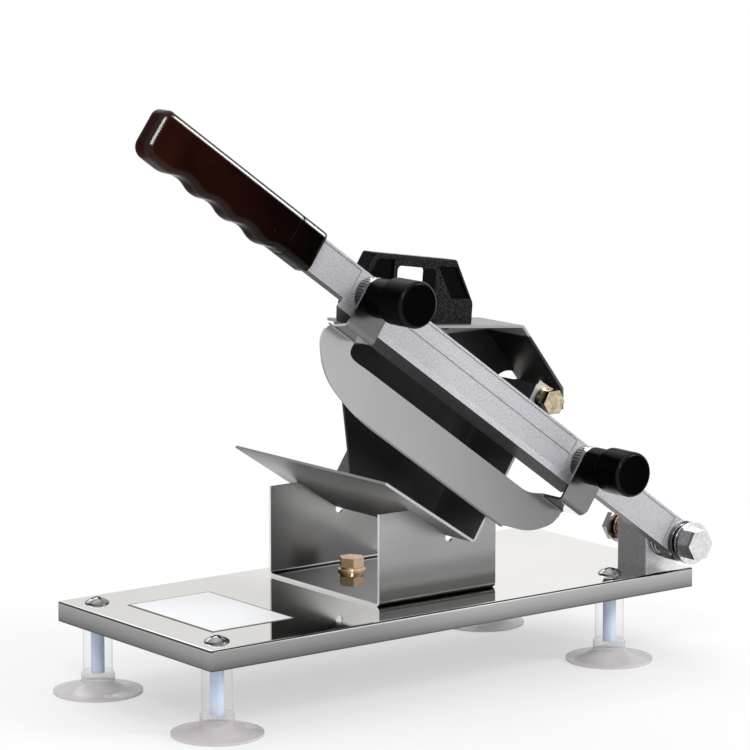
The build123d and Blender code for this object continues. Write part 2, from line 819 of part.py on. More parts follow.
def pusher_handle():
    """Moulded bridge handle with sunk panels on the legs."""
    frame = handle_frame()
    body = make_face(Polyline(*handle_outline(), close=True))
    body = fillet(body.vertices().sort_by(Axis.Y)[-2:], handle_round)
    gap = make_face(Polyline(*finger_gap(), close=True))
    gap = fillet(gap.vertices().sort_by(Axis.Y)[-2:], handle_gap_round)
    solid = extrude(body - gap, amount=-handle_depth)
    top_edges = [edge for edge in solid.edges().filter_by(GeomType.LINE)
                 if edge.center().Y > handle_height_right and abs(edge.tangent_at(0).Z) < 0.5]
    solid = fillet(top_edges, handle_round)
    for panel in leg_panels():
        near = extrude(panel, amount=-handle_panel_depth)
        far = Pos(0, 0, -handle_depth) * extrude(panel, amount=handle_panel_depth)
        solid = solid - near - far
    solid = frame * solid
    for x, z in handle_screw_spots():
        hole = Plane(origin=(x, handle_middle(), z), z_dir=top_normal()) * Circle(
            handle_screw_radius + running_gap)
        solid -= extrude(hole, amount=handle_screw_length)
    return solid


def leg_panels():
    """Sunk panel on each leg's face, following its slanted outer side."""
    rim = handle_panel_rim
    low = handle_foot_height + 1.0
    high_right = handle_height_right - 1.5 * rim
    slope = handle_lean_right / (handle_height_right - handle_foot_height)
    lean = slope * (high_right - handle_foot_height)
    right = [
        (-rim - handle_panel_width, low), (-rim, low), (-lean - rim, high_right),
        (-lean - rim - handle_panel_width, high_right)]
    inner = -handle_gap_left - rim
    outer_low = -handle_base_width + rim
    outer_high = outer_low + handle_lean_left
    high_left = handle_height_left - 1.5 * rim
    left = [(outer_low, low), (inner, low), (inner, high_left), (outer_high, high_left)]
    return [make_face(Polyline(*side, close=True)) for side in (right, left)]


def handle_screw_spots():
    """Screw centres on the hood's top surface, one in each leg."""
    right = handle_gap_right / 2
    left = (handle_base_width + handle_gap_left) / 2
    return [hood_top_point(handle_set_in + right, 0), hood_top_point(handle_set_in + left, 0)]


def handle_screws():
    screws = []
    for x, z in handle_screw_spots():
        up = Vector(*top_normal())
        seat = Vector(x, handle_middle(), z) - up * hood_sheet
        frame = Plane(origin=seat, z_dir=up)
        length = hood_sheet + handle_screw_length - 1.0
        shank = extrude(Circle(handle_screw_radius), amount=length)
        head = Rot(180, 0, 0) * pan_head(handle_screw_head_radius, handle_screw_head_height)
        screws.append(frame * (shank + head))
    return screws


# ------------------------------------------------------------------ pivot
outer_washer_back = arm_front - pivot_washer_thickness
outer_spring_front = outer_washer_back - outer_spring_length
head_back = outer_spring_front - pivot_washer_thickness
inner_washer_back = arm_back + pivot_washer_thickness
block_back = block_front + block_depth
rear_washer_back = block_back + pivot_washer_thickness
rear_spring_back = rear_washer_back + rear_spring_length
nut_front = rear_spring_back + pivot_washer_thickness
pivot_bolt_end = nut_front + pivot_nut_height + pivot_bolt_tail


def pivot_block():
    """Cast block at the base's end, bored for the pivot bolt, tapped from below."""
    block = Pos(block_left, block_front, 0) * Box(
        block_length, block_depth, block_height, align=(Align.MIN, Align.MIN, Align.MIN))
    edges = block.edges().filter_by(Axis.Z) + block.faces().sort_by(Axis.Z)[-1].edges()
    block = fillet(edges, block_round)
    block -= disc(pivot_x, pivot_height, pivot_bolt_radius + bolt_gap, 0, base_width)
    for x, y in block_screw_spots:
        block -= post(x, y, m6_radius + running_gap, -1, block_screw_grip)
    return block


def block_screws():
    top = min(block_screw_grip, pivot_height - pivot_bolt_radius - bolt_gap) - 1.0
    under = tray_under
    shank = post(0, 0, m6_radius, under, top)
    head = Pos(0, 0, under) * Rot(180, 0, 0) * hex_along_z(m6_flats, m6_head_height)
    return [Pos(x, y, 0) * (shank + head) for x, y in block_screw_spots]


def pivot_bolt():
    head = toward_near(pivot_x, pivot_height, head_back) * hex_along_z(
        pivot_head_flats, pivot_head_height, bevel=0.9)
    return head + disc(pivot_x, pivot_height, pivot_bolt_radius, head_back, pivot_bolt_end)


def pivot_ring(radius, y_near, thickness):
    return ring(pivot_x, pivot_height, radius, pivot_bolt_radius + bolt_gap,
                y_near, y_near + thickness)


def pivot_washers():
    thick = pivot_washer_thickness
    return [
        pivot_ring(pivot_washer_radius, head_back, thick),
        pivot_ring(pivot_washer_radius, outer_washer_back, thick),
        pivot_ring(pivot_washer_radius, arm_back, thick),
        pivot_ring(small_washer_radius, block_back, thick),
        pivot_ring(small_washer_radius, rear_spring_back, thick)]


def pivot_spring(name, y_near, length, radius, wire, turns):
    """Spring on the pivot bolt; its own z axis points to the near side."""
    place = toward_near(pivot_x, pivot_height, y_near + length)
    return place * coil(name, length, radius, wire, turns)


def pivot_nut():
    nut = hex_nut(pivot_head_flats, pivot_nut_height, pivot_bolt_radius + running_gap)
    return toward_near(pivot_x, pivot_height, nut_front + pivot_nut_height) * nut


# ------------------------------------------------------------------ cutting arm (arm frame)
def plate(points, low, high):
    """Prism on an outline in the arm's frame, between two heights."""
    return Pos(0, 0, low) * extrude(make_face(Polyline(*points, close=True)), amount=high - low)


def arm_rectangle(x0, x1, y0, y1, low, high):
    return plate([(x0, y0), (x1, y0), (x1, y1), (x0, y1)], low, high)


def arm_rail():
    """Wedge-shaped rail along the lower edge: its crest stands proud of the front face."""
    half = arm_thickness / 2
    section = Polyline(
        (arm_half_width - 4, -half), (arm_half_width - 4, half), (arm_wide_low, half),
        (arm_rail_crest, half + arm_rail_proud), (arm_rail_foot, -half), close=True)
    side = Plane(origin=(arm_wide_start, 0, 0), x_dir=(0, 1, 0), z_dir=(1, 0, 0))
    rail = extrude(side * make_face(section), amount=arm_wide_end - arm_wide_start)
    top = half + arm_rail_proud
    end = make_face(Polyline(
        (arm_wide_end - arm_rail_slant, -half), (arm_wide_end, top),
        (arm_wide_end + 1, top), (arm_wide_end + 1, -half), close=True))
    cut = Plane(origin=(0, 2 * arm_rail_foot, 0), x_dir=(1, 0, 0), z_dir=(0, -1, 0)) * end
    return rail - extrude(cut, amount=2 * arm_rail_foot)


def arm_panels():
    """Shallow cast fields on the front, between thin raised borders."""
    half = arm_thickness / 2
    rim = arm_panel_rim
    edge = arm_half_width - rim
    pads = [stud_places["lower"], stud_places["upper"]]
    eye_end = arm_eye_radius + 2
    fields = [
        (eye_end, pads[0] - arm_stud_pad, -edge, edge),
        (pads[0] + arm_stud_pad, pads[1] - arm_stud_pad, -edge, -arm_web_half),
        (pads[0] + arm_stud_pad, pads[1] - arm_stud_pad, arm_web_half, arm_wide_low - rim / 2),
        (pads[1] + arm_stud_pad, arm_bar_end - 2, -edge, edge)]
    return [arm_rectangle(*field, half - arm_panel_depth, half + 1) for field in fields]


def lever_arm():
    """Cast arm: eye, bar, wide middle with a rail, and a tang inside the grip."""
    half = arm_thickness / 2
    eye = Pos(0, 0, -half) * extrude(Circle(arm_eye_radius), amount=arm_thickness)
    bar = arm_rectangle(0, arm_bar_end, -arm_half_width, arm_half_width, -half, half)
    tang = arm_rectangle(
        arm_bar_end - 5, arm_tang_end, -arm_tang_half_width, arm_tang_half_width,
        -arm_tang_thickness / 2, arm_tang_thickness / 2)
    arm = eye + bar + tang + arm_rail()
    for field in arm_panels():
        arm -= field
    bore = pivot_bolt_radius + running_gap + bush_wall + seat_gap
    arm -= Pos(0, 0, -half - 1) * extrude(Circle(bore), amount=arm_thickness + 2)
    for place in stud_places.values():
        arm -= Pos(place, 0, -half - 1) * extrude(
            Circle(stud_radius + running_gap), amount=arm_thickness + 2)
    arm -= Pos(grip_pin_place, grip_pin_below, -half) * extrude(
        Circle(grip_pin_radius + running_gap), amount=arm_thickness)
    return ARM * arm


def lever_bush():
    half = arm_thickness / 2
    inner = pivot_bolt_radius + running_gap
    tube = extrude(Circle(inner + bush_wall) - Circle(inner), amount=arm_thickness)
    return ARM * Pos(0, 0, -half) * tube


def clamp_stack():
    """Heights over the arm's front face at which the clamp's pieces start."""
    start = arm_thickness / 2
    washer = start + spacer_thickness
    ear = washer + clamp_washer_thickness
    knob = ear + blade_sheet
    return start, washer, ear, knob


def studs():
    start, washer, ear, knob = clamp_stack()
    length = arm_thickness / 2 + knob + stud_in_knob
    return [ARM * Pos(place, 0, -arm_thickness / 2) * extrude(Circle(stud_radius), amount=length)
            for place in stud_places.values()]


def spacer_nut(place):
    """Knurled nut that sets the slice thickness: grooves all round its rim."""
    points = []
    for i in range(spacer_grooves):
        for share, radius in ((0.0, spacer_radius), (0.5, spacer_radius),
                              (0.75, spacer_radius - spacer_groove)):
            angle = 2 * pi * (i + share) / spacer_grooves
            points.append((radius * cos(angle), radius * sin(angle)))
    rim = make_face(Polyline(*points, close=True)) - Circle(stud_radius + running_gap)
    nut = extrude(rim, amount=spacer_thickness)
    return ARM * Pos(place, 0, clamp_stack()[0]) * nut


def clamp_washers():
    height = clamp_stack()[1]
    washer = flat_washer(clamp_washer_radius, stud_radius + bolt_gap, clamp_washer_thickness)
    return [ARM * Pos(place, 0, height) * washer for place in stud_places.values()]


def clamp_knob(place):
    """Moulded knob: narrower neck, a groove, thicker head with rounded edges, blind bore."""
    groove_start = knob_neck_length - knob_groove_width
    groove_radius = knob_neck_radius - knob_groove_depth
    profile = Polyline(
        (0, 0), (knob_neck_radius, 0), (knob_neck_radius, groove_start),
        (groove_radius, groove_start), (groove_radius, knob_neck_length),
        (knob_radius, knob_neck_length), (knob_radius, knob_length), (0, knob_length),
        close=True)
    knob = turned([profile])
    knob = fillet(knob.faces().sort_by(Axis.Z)[-1].edges(), knob_round)
    shoulder = [edge for edge in knob.edges().filter_by(GeomType.CIRCLE)
                if abs(edge.radius - knob_radius) < seat_gap
                and abs(edge.center().Z - knob_neck_length) < seat_gap]
    knob = fillet(shoulder, knob_shoulder)
    bore = extrude(Circle(stud_radius + running_gap), amount=knob_bore_depth)
    return ARM * Pos(place, 0, clamp_stack()[3]) * (knob - bore)


# ------------------------------------------------------------------ blade (arm frame)
blade_tip = arm_stud_far + ear_width / 2
blade_heel = arm_stud_near - ear_width / 2 + ear_cut_width


def blade_outline():
    """The band seen from the front: long straight edge, round ends, raised shoulders."""
    half = ear_width / 2
    tip = [(blade_tip - back, blade_edge - up) for back, up in blade_tip_curve]
    heel = [(blade_heel + run, blade_edge - up) for run, up in blade_heel_curve]
    high_upper = blade_fold_upper - blade_sheet
    high_lower = blade_fold_lower - blade_sheet
    window_upper = (arm_stud_far - half - blade_shoulder_run, blade_top)
    window_lower = (arm_stud_near + half + blade_shoulder_run, blade_top)
    corner_upper = (arm_stud_far - half, blade_fold_upper + 2 * blade_sheet)
    corner_lower = (arm_stud_near + half, high_lower)
    cut_slope = ear_cut_width / ear_cut_height
    cut_start = heel[0][0] - cut_slope * (heel[0][1] - high_lower)
    lines = [
        Line(heel[-1], tip[-1]),
        Spline(*reversed(tip), tangents=((1, 0), (0, -1))),
        TangentArc(tip[0], (blade_tip - blade_tip_corner, high_upper), tangent=(0, -1)),
        Polyline((blade_tip - blade_tip_corner, high_upper), (arm_stud_far - half, high_upper),
                 corner_upper),
        Spline(corner_upper, window_upper, tangents=((0, 1), (-1, 0))),
        Line(window_upper, window_lower),
        Spline(window_lower, corner_lower, tangents=((-1, 0), (-0.9, -0.44))),
        Polyline(corner_lower, (cut_start, high_lower), heel[0]),
        Spline(*heel, tangents=((0.12, 1), (1, 0)))]
    return make_face([edge for line in lines for edge in line.edges()])


def blade():
    """Band, two steps and two ears, bent from one sheet, with a ground edge."""
    start, washer, ear_back, knob = clamp_stack()
    ear_front = ear_back + blade_sheet
    band_front = ear_front - blade_step
    band_back = band_front - blade_sheet
    band = Pos(0, 0, band_back) * extrude(blade_outline(), amount=blade_sheet)
    whole = band - edge_bevels(band_front, band_back)
    for name, fold in (("lower", blade_fold_lower), ("upper", blade_fold_upper)):
        place = stud_places[name]
        overlap = fold + 3 * blade_sheet
        section = bent_strip(
            [(-ear_width, ear_front), (fold, ear_front), (fold, band_front),
             (overlap, band_front)],
            -blade_sheet, blade_bend)
        side = Plane(origin=(place - ear_width / 2, 0, 0), x_dir=(0, 1, 0), z_dir=(1, 0, 0))
        folded = extrude(side * section, amount=ear_width)
        whole += folded & ear_mask(name, overlap, band_back)
    whole -= tip_taper(ear_back, band_back)
    for place in stud_places.values():
        whole -= Pos(place, 0, 0) * extrude(Circle(stud_radius + bolt_gap), amount=2 * ear_front)
    return ARM * whole


def tip_taper(ear_back, band_back):
    """What is cut off beside the upper step and the band's corner behind it."""
    high = blade_fold_upper - blade_sheet
    beyond = blade_tip + blade_sheet
    wedge = make_face(Polyline(
        (blade_tip, ear_back), (beyond, ear_back), (beyond, band_back - 1),
        (blade_tip - blade_tip_corner, band_back - 1), close=True))
    side = Plane(origin=(0, blade_fold_upper, 0), x_dir=(1, 0, 0), z_dir=(0, -1, 0))
    step_cut = extrude(side * wedge, amount=2 * blade_sheet)
    start = blade_tip - blade_tip_corner
    low = blade_edge - blade_tip_curve[0][1]
    arc = TangentArc((blade_tip, low), (start, high), tangent=(0, -1))
    rest = Polyline((start, high), (beyond, high), (beyond, low), (blade_tip, low))
    corner = make_face([*arc.edges(), *rest.edges()])
    band_front = band_back + blade_sheet
    corner_cut = Pos(0, 0, band_back - 1) * extrude(corner, amount=band_front - band_back + 1)
    return step_cut + corner_cut


def ear_mask(name, bottom, low):
    """What is kept of the folded strip: round head, straight sides, a bevel at the heel."""
    place = stud_places[name]
    half = ear_width / 2
    corners = [(place + half, 0), (place + half, bottom)]
    if name == "lower":
        heel_top = blade_edge - blade_heel_curve[0][1]
        corners += [(blade_heel, bottom), (blade_heel, heel_top),
                    (place - half, heel_top - ear_cut_height), (place - half, 0)]
    else:
        corners += [(place - half, bottom), (place - half, 0)]
    body = make_face(Polyline(*corners, close=True))
    head = Pos(place, 0) * Circle(half)
    return Pos(0, 0, low - blade_sheet) * extrude(body + head, amount=2 * blade_step)


def edge_bevels(front, back):
    """Material ground off the cutting edge: a fine bevel in front, a long one behind."""
    beyond = 2.0
    depth = (blade_sheet - blade_edge_land) / 2
    low = blade_edge + beyond
    wedges = []
    for face, width, sign in ((front, blade_bevel_front, 1), (back, blade_bevel_back, -1)):
        fall = sign * depth * (width + beyond) / width
        section = Polyline(
            (blade_edge - width, face), (low, face - fall),
            (low, face + sign), (blade_edge - width, face + sign), close=True)
        side = Plane(origin=(blade_heel - 5, 0, 0), x_dir=(0, 1, 0), z_dir=(1, 0, 0))
        wedges.append(extrude(side * make_face(section), amount=blade_tip - blade_heel + 10))
    return wedges[0] + wedges[1]


# ------------------------------------------------------------------ grip (arm frame)
def grip_low_line():
    """Lower outline points: roots and crests of the ridges in turn."""
    first = grip_start + grip_ridge_start
    pitch = (grip_end - grip_heel_run - first) / (grip_ridges + grip_heel_share)
    points = []
    for i in range(2 * grip_ridges + 1):
        below = grip_ridge if i % 2 == 1 else 0
        points.append((first + i * pitch / 2, grip_low + below))
    return points


def grip_body():
    """Side view of the grip: flat top, wavy underside, heavier rounded heel."""
    wave = grip_low_line()
    heel = (grip_end - grip_heel_run, grip_heel_low)
    stops = [Vector(*spot) for spot in (*wave, heel)]
    along = Vector(1, 0)
    underside = [biarc(here, along, there, along) for here, there in zip(stops, stops[1:])]
    top_end = (grip_end, -grip_top)
    low_end = (grip_end, grip_heel_low)
    rest = Polyline(
        heel, low_end, top_end, (grip_start, -grip_top), (grip_start, grip_low), wave[0])
    arcs = [edge for pair in underside for arc in pair for edge in arc.edges()]
    face = make_face(arcs + list(rest.edges()))
    for spot, radius in ((top_end, grip_corner_top), (low_end, grip_corner_low)):
        vertex = face.vertices().sort_by_distance((spot[0], spot[1], 0))[0]
        face = fillet(vertex, radius)
    return face


def hand_grip():
    """Moulded grip with finger ridges below, pushed over the arm's tang."""
    half = grip_depth / 2
    body = Pos(0, 0, -half) * extrude(grip_body(), amount=grip_depth)
    rims = body.faces().sort_by(Axis.Z)
    edges = rims[0].edges() + rims[-1].edges()
    long_edges = [e for e in edges if abs(e.center().X - grip_start) > 1]
    body = fillet(long_edges, grip_round)
    body -= grip_groove()
    socket = arm_rectangle(
        grip_start - 1, arm_bar_end, -arm_half_width - seat_gap, arm_half_width + seat_gap,
        -arm_thickness / 2 - seat_gap, arm_thickness / 2 + seat_gap)
    slot = arm_rectangle(
        grip_start, arm_tang_end + 1, -arm_tang_half_width - seat_gap,
        arm_tang_half_width + seat_gap, -arm_tang_thickness / 2 - seat_gap,
        arm_tang_thickness / 2 + seat_gap)
    body = body - socket - slot
    body -= Pos(grip_pin_place, grip_pin_below, -half) * extrude(
        Circle(grip_pin_radius + running_gap), amount=grip_depth)
    return ARM * body


def grip_groove():
    """Fine groove round the grip, marking off its collar."""
    zone = arm_rectangle(
        grip_groove_place, grip_groove_place + grip_groove_width,
        -grip_depth, grip_depth, -grip_depth, grip_depth)
    core_height = grip_top + grip_low - 2 * grip_groove_depth
    middle = (grip_low - grip_top) / 2
    core = Plane(origin=(0, middle, 0), x_dir=(0, 1, 0), z_dir=(1, 0, 0)) * RectangleRounded(
        core_height, grip_depth - 2 * grip_groove_depth, grip_round - grip_groove_depth)
    return zone - extrude(core, amount=2 * grip_end)


def grip_pin():
    length = grip_depth - 1.0
    return ARM * Pos(grip_pin_place, grip_pin_below, -length / 2) * extrude(
        Circle(grip_pin_radius), amount=length)


# ------------------------------------------------------------------ assembly
def build():
    """Every node's solids in the base frame."""
    gap = block_front - inner_washer_back
    return {
        "base_tray": [base_tray()],
        "suction_feet": at_feet(suction_foot()),
        "foot_cores": at_feet(foot_core()),
        "foot_screws": at_feet(foot_screw()),
        "trough_bracket": [trough_bracket()],
        "bracket_bolts": [Pos(x, y, 0) * bracket_bolt() for x, y in bracket_bolt_spots],
        "bracket_washers": bracket_washers(),
        "bracket_nuts": bracket_nuts(),
        "food_trough": [food_trough()],
        "guide_rod": [guide_rod()],
        "rod_washers": rod_washers(),
        "rod_nuts": rod_nuts(),
        "guide_sleeve": [guide_sleeve()],
        "pusher_hood": [pusher_hood()],
        "grip_pins": grip_pins(),
        "pusher_handle": [pusher_handle()],
        "handle_screws": handle_screws(),
        "pivot_block": [pivot_block()],
        "block_screws": block_screws(),
        "pivot_bolt": [pivot_bolt()],
        "pivot_washers": pivot_washers(),
        "pivot_spring_outer": [pivot_spring(
            "pivot_spring_outer", outer_spring_front, outer_spring_length,
            outer_spring_radius, outer_spring_wire, outer_spring_turns)],
        "pivot_spring_inner": [pivot_spring(
            "pivot_spring_inner", inner_washer_back, gap,
            inner_spring_radius, inner_spring_wire, inner_spring_turns)],
        "pivot_spring_rear": [pivot_spring(
            "pivot_spring_rear", rear_washer_back, rear_spring_length,
            rear_spring_radius, rear_spring_wire, rear_spring_turns)],
        "pivot_nut": [pivot_nut()],
        "lever_arm": [lever_arm()],
        "lever_bush": [lever_bush()],
        "clamp_studs": studs(),
        "spacer_nut_lower": [spacer_nut(stud_places["lower"])],
        "spacer_nut_upper": [spacer_nut(stud_places["upper"])],
        "clamp_washers": clamp_washers(),
        "blade": [blade()],
        "clamp_knob_lower": [clamp_knob(stud_places["lower"])],
        "clamp_knob_upper": [clamp_knob(stud_places["upper"])],
        "hand_grip": [hand_grip()],
        "grip_pin": [grip_pin()],
    }


nodes = build()
shapes = [piece for pieces in nodes.values() for piece in pieces]
box = Compound(children=[Compound([piece]) for piece in shapes]).bounding_box()
to_origin = Vector(-(box.min.X + box.max.X) / 2, -(box.min.Y + box.max.Y) / 2, -box.min.Z)

os.makedirs("parts", exist_ok=True)
for name, pieces in nodes.items():
    solids = [solid for piece in pieces for solid in piece.solids()]
    moved = [Pos(*to_origin) * solid for solid in solids]
    shape = moved[0] if len(moved) == 1 else Compound(moved)
    export_step(shape, f"parts/{name}.step")
print("origin moved by", [round(v, 3) for v in to_origin])
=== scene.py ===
import bpy
import bmesh
from mathutils import Matrix, Vector


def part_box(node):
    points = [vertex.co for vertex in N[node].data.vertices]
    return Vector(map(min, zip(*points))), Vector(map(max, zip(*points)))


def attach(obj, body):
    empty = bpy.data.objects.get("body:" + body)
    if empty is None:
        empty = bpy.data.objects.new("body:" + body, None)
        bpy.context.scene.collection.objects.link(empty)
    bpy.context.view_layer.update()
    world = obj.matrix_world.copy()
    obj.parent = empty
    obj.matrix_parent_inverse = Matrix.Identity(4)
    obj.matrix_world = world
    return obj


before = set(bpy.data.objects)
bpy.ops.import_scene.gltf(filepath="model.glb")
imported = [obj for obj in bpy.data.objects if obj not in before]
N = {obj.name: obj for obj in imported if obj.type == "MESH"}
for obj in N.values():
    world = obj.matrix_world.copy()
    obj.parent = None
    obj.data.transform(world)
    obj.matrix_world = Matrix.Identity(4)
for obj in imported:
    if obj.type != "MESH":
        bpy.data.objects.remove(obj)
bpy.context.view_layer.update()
scene = bpy.context.scene

# ------------------------------------------------------------------ places, in metres
RIGHT, LEFT = (1, 0, 0), (-1, 0, 0)
FAR, NEAR = (0, 1, 0), (0, -1, 0)
UP, DOWN = (0, 0, 1), (0, 0, -1)

# The base frame (x from the tray's left end, y from its near edge, z from its top) in the row frame.
tray_lo, tray_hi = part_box("base_tray")
BX, BY, BZ = tray_lo.x, tray_lo.y, tray_hi.z


def at(x, y, z):
    """Row-frame point in metres from base-frame millimetres."""
    return Vector((BX + x / 1000, BY + y / 1000, BZ + z / 1000))


def slant(axis, x, z):
    """How far along a slanting axis a place lies, in metres, from base-frame metres."""
    return axis[0] * (BX + x) + axis[2] * (BZ + z)


# ------------------------------------------------------------------ camera
# Fitted to the photograph: its focal length in pixels, its place and its three directions.
SENSOR = 36.0
FOCAL_PIXELS = 3604.7
PHOTO_PIXELS = 750.0
CAMERA_PLACE = at(-1047.63, -1509.88, 446.42)
CAMERA_RIGHT = (0.7941949, -0.6076631, 0.0)
CAMERA_UP = (0.0980044, 0.1280884, 0.9869086)
CAMERA_BACK = (-0.5997079, -0.7837978, 0.1612808)

cam_data = bpy.data.cameras.new("camera")
cam_data.sensor_width = SENSOR
cam_data.lens = SENSOR * FOCAL_PIXELS / PHOTO_PIXELS
cam_data.clip_start = 0.05
cam_data.clip_end = 30.0
cam = bpy.data.objects.new("camera", cam_data)
turned = Matrix((CAMERA_RIGHT, CAMERA_UP, CAMERA_BACK)).transposed().to_4x4()
cam.matrix_world = Matrix.Translation(CAMERA_PLACE) @ turned
scene.collection.objects.link(cam)
scene.camera = cam


# ------------------------------------------------------------------ shader helpers
def grey(value):
    return (value, value, value)


def greys(*stops):
    """Ramp stops from pairs of place and grey value."""
    return [(place, grey(value)) for place, value in stops]


class Mat:
    """One node material. Its textures read object coordinates: the objects sit at the origin, so
    these are row-frame metres. A value is a constant or the output of another node."""

    def __init__(self, name, color=(0.5, 0.5, 0.5), metallic=0.0, rough=0.4):
        self.mat = bpy.data.materials.new(name)
        self.mat.use_nodes = True
        self.nt = self.mat.node_tree
        self.bsdf = self.nt.nodes["Principled BSDF"]
        self.use("Base Color", (*color, 1.0))
        self.use("Metallic", metallic)
        self.use("Roughness", rough)

    def link(self, a, b):
        self.nt.links.new(a, b)

    def put(self, socket, value):
        if isinstance(value, bpy.types.NodeSocket):
            self.link(value, socket)
        else:
            socket.default_value = value

    def use(self, key, value):
        self.put(self.bsdf.inputs[key], value)

    def node(self, kind, **values):
        """New node, with values for its properties and for its inputs."""
        made = self.nt.nodes.new(kind)
        for key, value in values.items():
            if hasattr(made, key):
                setattr(made, key, value)
            else:
                made.inputs[key].default_value = value
        return made

    def texture(self, output):
        return self.node("ShaderNodeTexCoord").outputs[output]

    def coords(self, scale=(1, 1, 1)):
        """Object coordinates, scaled."""
        mapping = self.node("ShaderNodeMapping", Scale=scale)
        self.link(self.texture("Object"), mapping.inputs["Vector"])
        return mapping.outputs["Vector"]

    def noise(self, vector, scale, detail, rough, distortion=0.0):
        made = self.node(
            "ShaderNodeTexNoise", Scale=scale, Detail=detail, Roughness=rough, Distortion=distortion)
        self.link(vector, made.inputs["Vector"])
        return made.outputs["Fac"]

    def ramp(self, fac, stops):
        """Colours over a value, from (place, colour) stops."""
        made = self.node("ShaderNodeValToRGB")
        ramp = made.color_ramp
        while len(ramp.elements) < len(stops):
            ramp.elements.new(0.5)
        for element, (place, color) in zip(ramp.elements, stops):
            element.position = place
            element.color = (*color, 1.0)
        self.link(fac, made.inputs["Fac"])
        return made.outputs["Color"]

    def span(self, value, low, high, to_low, to_high):
        made = self.node("ShaderNodeMapRange")
        for key, number in (
                ("From Min", low), ("From Max", high), ("To Min", to_low), ("To Max", to_high)):
            made.inputs[key].default_value = number
        self.link(value, made.inputs["Value"])
        return made.outputs["Result"]

    def mix(self, a, b, fac, mode="MIX"):
        made = self.node("ShaderNodeMix", data_type="RGBA", blend_type=mode)
        for socket, value in ((made.inputs[6], a), (made.inputs[7], b), (made.inputs[0], fac)):
            self.put(socket, (*value, 1.0) if isinstance(value, tuple) else value)
        return made.outputs[2]

    def shade(self, tone, over, stops, share=1.0):
        """The tone times a ramp over a value, from (place, grey value) stops."""
        return self.mix(tone, self.ramp(over, greys(*stops)), share, "MULTIPLY")

    def calc(self, operation, a, b):
        made = self.node("ShaderNodeMath", operation=operation)
        self.put(made.inputs[0], a)
        self.put(made.inputs[1], b)
        return made.outputs[0]

    def dot(self, vector, axis):
        made = self.node("ShaderNodeVectorMath", operation="DOT_PRODUCT")
        made.inputs[1].default_value = axis
        self.link(vector, made.inputs[0])
        return made.outputs["Value"]

    def along(self, axis, low, high):
        """0 to 1 along a direction, between two places in metres."""
        return self.span(self.dot(self.texture("Object"), axis), low, high, 0.0, 1.0)

    def facing(self, axis, low=-1.0, high=1.0):
        """0 to 1 by how far the surface faces a direction."""
        return self.span(self.dot(self.texture("Normal"), axis), low, high, 0.0, 1.0)

    def rounded(self, radius, stops, spare=None):
        """Normals rounded over near sharp edges, and a ramp over how far they face the near side.
        spare: (place, radius) of a ball in which nothing is rounded."""
        made = self.node("ShaderNodeBevel", samples=12)
        size = radius
        if spare:
            place, reach = spare
            away = self.node("ShaderNodeVectorMath", operation="DISTANCE")
            away.inputs[1].default_value = place
            self.link(self.texture("Object"), away.inputs[0])
            size = self.span(away.outputs["Value"], reach, reach + SPARE_BLEND, 0.0, radius)
        self.put(made.inputs["Radius"], size)
        turn = self.node(
            "ShaderNodeVectorTransform", vector_type="NORMAL", convert_from="WORLD",
            convert_to="OBJECT")
        self.link(made.outputs["Normal"], turn.inputs[0])
        return made.outputs["Normal"], self.ramp(self.dot(turn.outputs[0], NEAR), greys(*stops))

    def bump(self, height, strength, depth, under=None):
        made = self.node("ShaderNodeBump", Distance=depth)
        self.put(made.inputs["Strength"], strength)
        self.link(height, made.inputs["Height"])
        if under is not None:
            self.link(under, made.inputs["Normal"])
        return made.outputs["Normal"]


# ------------------------------------------------------------------ kinds of material
# Depths of bump in metres.
TOOTH = 0.00005
HAIRLINE = 0.0001
SKIN = 0.0002
RIPPLE = 0.0003
SPARE_BLEND = 0.0003  # over which a spared ball's rounding comes back, in metres
SQUARE_ON = (0.8, 0.95)  # a face turned to an axis: from not counted to fully counted


def sheet(name, tones, rough, stretch, streak=0.06, fades=(), bump=0.03, cut=(), cut_tone=0.8,
          metal=1.0, upright=None):
    """Polished sheet. tones: (place, colour) by how far a face looks up, which paint light and shade
    by orientation. stretch: scale of its fine lines on each axis. streak: how dark they are. fades:
    painted shade and painted reflection, (axis, low, high, stops) or, for one zone only, (axis, low,
    high, stops, zone axis, zone low, zone high). cut: the ways that its sheared edges face, which are
    painted with cut_tone as a highlight. upright: the roughness of its walls, where it differs."""
    m = Mat(name, metallic=metal, rough=rough)
    # Painted light and shade: the tone by how far a face looks up.
    tone = m.ramp(m.facing(UP), tones)
    # Painted shade and painted reflection, fading along each axis.
    for axis, low, high, stops, *zone in fades:
        share = m.along(*zone) if zone else 1.0
        tone = m.shade(tone, m.along(axis, low, high), stops, share)
    # Painted highlight on the cut edges: the cut tone laid over them.
    for axis in cut:
        tone = m.mix(tone, grey(cut_tone), m.facing(axis, *SQUARE_ON))
    slow = m.noise(m.coords(), 16.0, 2.0, 0.5, 0.6)
    tone = m.shade(tone, slow, ((0.3, 0.94), (0.7, 1.0)))
    fine = m.noise(m.coords(stretch), 1.0, 3.0, 0.6)
    m.use("Base Color", m.shade(tone, fine, ((0.3, 1 - streak), (0.7, 1.0))))
    marks = m.noise(m.coords(), 70.0, 5.0, 0.7)
    dull = m.span(marks, 0.3, 0.75, rough * 0.9, rough * 1.12)
    if upright:
        wall = m.span(marks, 0.3, 0.75, upright * 0.9, upright * 1.12)
        dull = m.mix(wall, dull, m.facing(UP, *SQUARE_ON))
    m.use("Roughness", dull)
    m.use("Normal", m.bump(fine, bump, HAIRLINE))
    return m.mat


